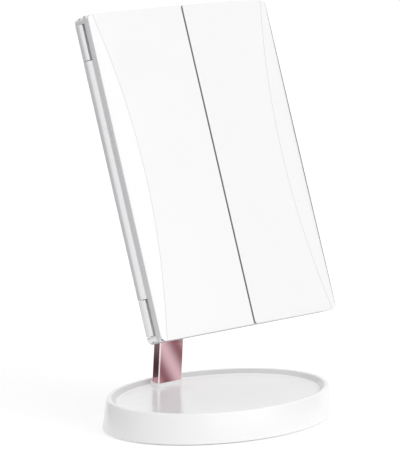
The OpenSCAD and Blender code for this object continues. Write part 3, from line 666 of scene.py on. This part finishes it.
# %% Etched ring for the finger
ring_width = 0.9 * mm
ring_steps = 64
low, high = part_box("touch_sensor")
pad_low = -reach(frame["nodes"]["touch_sensor"].data.vertices, head_down)
pad_radius = (high.x - low.x) / 2
ring_middle = head_front * glass_front - head_down * (pad_low + pad_radius)
bm = bmesh.new()
inner = pad_radius - ring_width
corners = draw_profile(bm, [(inner, 0), (inner, etch_depth), (pad_radius, etch_depth), (pad_radius, 0)])
bm.edges.new((corners[-1], corners[0]))
turn_profile(bm, ring_steps)
bm.transform(Matrix.Translation(ring_middle) @ head_front.to_track_quat("Z", "Y").to_matrix().to_4x4())
ring = make_piece(bm, "etched_touch_ring", body_of["centre_mirror"], "frosted")
print("ring faces:", len(ring.data.polygons))

# %% [markdown]
# ## The tray
# The base is one moulded shell: a shallow tray inside a rounded rim, with a side that flares towards the
# table. Its section is the same all round, so it is turned like a bowl, with spin, and then stretched
# sideways into an oval. The section's corners are rounded before the turn, while they are single points on a
# line.

# %% Section of the tray's shell: radius, height and rounding of each corner
low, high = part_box("base_shell")
tray_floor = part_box("post_collar")[0].z
oval = (high.x - low.x) / (high.y - low.y)
foot_radius = high.y
crest_in = 5 * mm
slope_run = 6.3 * mm
crest_radius = foot_radius - crest_in / oval
floor_radius = crest_radius - slope_run / oval
rim_half = 1.2 * mm
shell_wall = 2.2 * mm
foot_bevel = 0.5 * mm
wall_at_crest = 1.6 * mm
wall_at_floor = 1 * mm
inner_step = 0.4 * mm
section = [
    (0, tray_floor, 0),
    (floor_radius, tray_floor, 1.5 * mm),
    (crest_radius - rim_half, high.z, rim_half),
    (crest_radius + rim_half, high.z, rim_half),
    (foot_radius, low.z + foot_bevel, 0.4 * mm),
    (foot_radius - foot_bevel, low.z, 0.2 * mm),
    (foot_radius - shell_wall, low.z, 0.2 * mm),
    (crest_radius - wall_at_crest, tray_floor - inner_step, 1 * mm),
    (floor_radius - wall_at_floor, tray_floor - shell_wall, 1 * mm),
    (0, tray_floor - shell_wall, 0),
]

# %% Round the section, turn it and stretch it
tray_steps = 192
bm = bmesh.new()
corners = draw_profile(bm, [(radius, height) for radius, height, _ in section])
for corner, (_, _, round_off) in zip(corners, section):
    if round_off:
        bmesh.ops.bevel(bm, geom=[corner], offset=round_off, offset_type="OFFSET", affect="VERTICES",
                        segments=round_steps, profile=0.5, material=-1)
turn_profile(bm, tray_steps)
bmesh.ops.scale(bm, verts=bm.verts, vec=(oval, 1, 1))

# %% Mark the slope inside the rim, where the finish paints a soft shade
slope_from = floor_radius + 0.3 * mm
slope_to = crest_radius - rim_half
slope_above = tray_floor + 0.2 * mm
shade = bm.verts.layers.float.new("shade")
for vert in bm.verts:
    out = Vector((vert.co.x / oval, vert.co.y)).length
    if slope_from < out < slope_to and vert.co.z > slope_above:
        vert[shade] = 1
tray = make_piece(bm, "tray_shell", "base", "white_satin", "base_shell")
print("tray faces:", len(tray.data.polygons))

# %% [markdown]
# ## The studio
# The object stands on a plain pale floor that fills the picture, under soft light from all round, one broad
# key light and one from above that throws no shadow. The floor reads as white because the camera, and rays
# that mirror or pass through something, see a little glow on it: the light on the object itself stays plain,
# so a colour renders about as it is written.

# %% World
soft_light = 0.54
world = bpy.data.worlds.new("studio")
bpy.context.scene.world = world
world.use_nodes = True


def seen_directly(tree):
    """1 for camera rays and for rays that mirror or pass through something, 0 for light on surfaces."""
    path = add_node(tree, "ShaderNodeLightPath").outputs
    mirrored = add_math(tree, "MAXIMUM", path["Is Glossy Ray"], path["Is Transmission Ray"])
    return add_math(tree, "MAXIMUM", path["Is Camera Ray"], mirrored)


tree = world.node_tree
strength = add_range(tree, seen_directly(tree), 0.0, 1.0, soft_light, 1.0)
tree.links.new(strength, tree.nodes["Background"].inputs["Strength"])
tree.nodes["Background"].inputs["Color"].default_value = (1, 1, 1, 1)


# %% Broad lights, far away, so that they fall evenly on the floor
def add_broad_light(name, comes_from, power, softness):
    """A sun lamp: the same strength everywhere, with shadows as soft as its angle is wide."""
    light = bpy.data.lights.new(name, "SUN")
    light.energy = power
    light.angle = radians(softness)
    turn_towards(add_to_scene(name, light), comes_from)
    return light


key_light = add_broad_light("key light", comes_from=(0.15, -0.95, 0.28), power=0.98, softness=60)
top_light = add_broad_light("even top light", comes_from=(0, 0, 1), power=0.88, softness=90)
top_light.use_shadow = False
print("lights:", key_light.name, "and", top_light.name)

# %% Floor
floor_size = 30
floor_glow = 0.2
bm = bmesh.new()
bmesh.ops.create_grid(bm, x_segments=1, y_segments=1, size=floor_size)
floor = add_to_scene("floor", finished_mesh(bm, "floor"))
paper = bpy.data.materials.new("white paper")
paper.use_nodes = True
tree = paper.node_tree
matt = tree.nodes["Principled BSDF"].inputs
matt["Base Color"].default_value = (0.93, 0.93, 0.93, 1)
matt["Roughness"].default_value = 0.9
matt["Specular IOR Level"].default_value = 0.0
matt["Emission Color"].default_value = (1, 1, 1, 1)
tree.links.new(add_math(tree, "MULTIPLY", seen_directly(tree), floor_glow), matt["Emission Strength"])
floor.data.materials.append(paper)

# %% [markdown]
# ## Grey cards
# Polished metal only looks like metal when it has something to mirror. Photographers stand grey cards beside
# the object, just outside the picture. These fade out towards their rims, are seen by mirrored rays alone,
# and throw no shadow, so they change nothing but the reflections in the post and along the barrels.

# %% Paint that fades out towards a card's rim
fade_width = 0.5


def card_paint(name, shade):
    """A glow of one brightness that a round gradient makes clear at the rim."""
    paint = bpy.data.materials.new(name)
    paint.use_nodes = True
    tree = paint.node_tree
    tree.nodes.remove(tree.nodes["Principled BSDF"])
    place = add_node(tree, "ShaderNodeTexCoord").outputs["UV"]
    centre = {"Vector": place, "Location": (-1, -1, 0), "Scale": (2, 2, 1)}
    centred = add_node(tree, "ShaderNodeMapping", centre).outputs[0]
    fade = add_node(tree, "ShaderNodeTexGradient", {"Vector": centred}, gradient_type="SPHERICAL")
    covers = add_range(tree, fade.outputs["Fac"], 0.0, fade_width)
    clear = add_node(tree, "ShaderNodeBsdfTransparent").outputs[0]
    grey = add_node(tree, "ShaderNodeEmission", {"Color": (shade, shade, shade, 1)}).outputs[0]
    mixed = add_node(tree, "ShaderNodeMixShader", {0: covers, 1: clear, 2: grey}).outputs[0]
    tree.links.new(mixed, tree.nodes["Material Output"].inputs["Surface"])
    return paint


# %% Cards
def add_card(name, middle, faces, size, shade):
    """A soft-edged card that faces along a direction: shade is its brightness in the middle."""
    bm = bmesh.new()
    bmesh.ops.create_grid(bm, x_segments=1, y_segments=1, size=0.5)
    turn = Vector(faces).to_track_quat("Z", "Y").to_matrix().to_4x4()
    bm.transform(Matrix.Translation(middle) @ turn @ Matrix.Diagonal((*size, 1, 1)))
    layer = bm.loops.layers.uv.new("card")
    for face in bm.faces:
        for loop, corner in zip(face.loops, ((0, 0), (1, 0), (1, 1), (0, 1))):
            loop[layer].uv = corner
    card = add_to_scene(name, finished_mesh(bm, name))
    card.data.materials.append(card_paint(name, shade))
    card.visible_camera = False
    card.visible_diffuse = False
    card.visible_shadow = False
    card.visible_transmission = False


add_card("dark card on the left", middle=(-0.15, 0.17, 0.16), faces=(1, -1, 0), size=(0.5, 0.6), shade=0.12)
add_card("grey card on the right", middle=(0.15, -0.12, 0.03), faces=(-1, 1, 0), size=(0.22, 0.16),
         shade=0.30)
add_card("small card behind the post", middle=(-0.085, 0.13, 0.05), faces=(1, -1, 0), size=(0.16, 0.2),
         shade=0.18)
print("studio ready")
